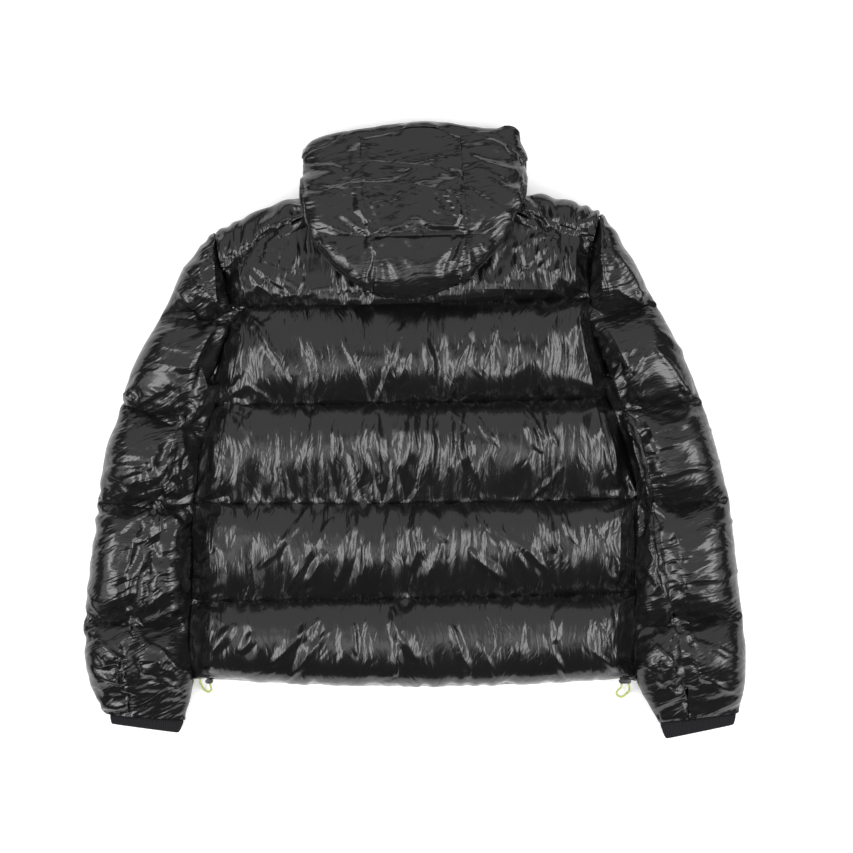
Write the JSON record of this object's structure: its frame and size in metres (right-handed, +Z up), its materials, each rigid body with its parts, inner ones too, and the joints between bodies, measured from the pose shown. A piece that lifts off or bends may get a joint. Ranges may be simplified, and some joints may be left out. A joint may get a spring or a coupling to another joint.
{
  "type": "hooded puffer jacket",
  "caption": "Glossy black quilted puffer jacket with a padded hood, rib cuffs and hem drawcord loops, laid flat on its front with its back up.",
  "frame": {"origin": "middle of the laid-out jacket's box, on the surface it lies on", "axes": "+X to the jacket's right as seen from above, +Y from hem to hood, +Z up from the surface"},
  "size_m": [0.8684, 0.811, 0.117],
  "materials": {
    "nylon": "very glossy, wrinkled down-proof nylon",
    "rib": "matte fine rib knit",
    "elastic": "matte lime elastic cord",
    "plastic": "black moulded plastic"
  },
  "bodies": {
    "root": {"back": "nylon", "front_left": "nylon", "front_right": "nylon", "shoulder_left": "nylon", "shoulder_right": "nylon", "sleeve_top_left": "nylon", "sleeve_top_right": "nylon", "sleeve_under_left": "nylon", "sleeve_under_right": "nylon", "cuff_left": "rib", "cuff_right": "rib", "hood_centre": "nylon", "hood_side_left": "nylon", "hood_side_right": "nylon", "hood_chin_left": "nylon", "hood_chin_right": "nylon", "hood_brim": "nylon", "zip_chain": "plastic", "zip_slider": "plastic", "cord_left": "elastic", "cord_right": "elastic", "cord_end_left": "plastic", "cord_end_right": "plastic"}
  },
  "joints": []
}
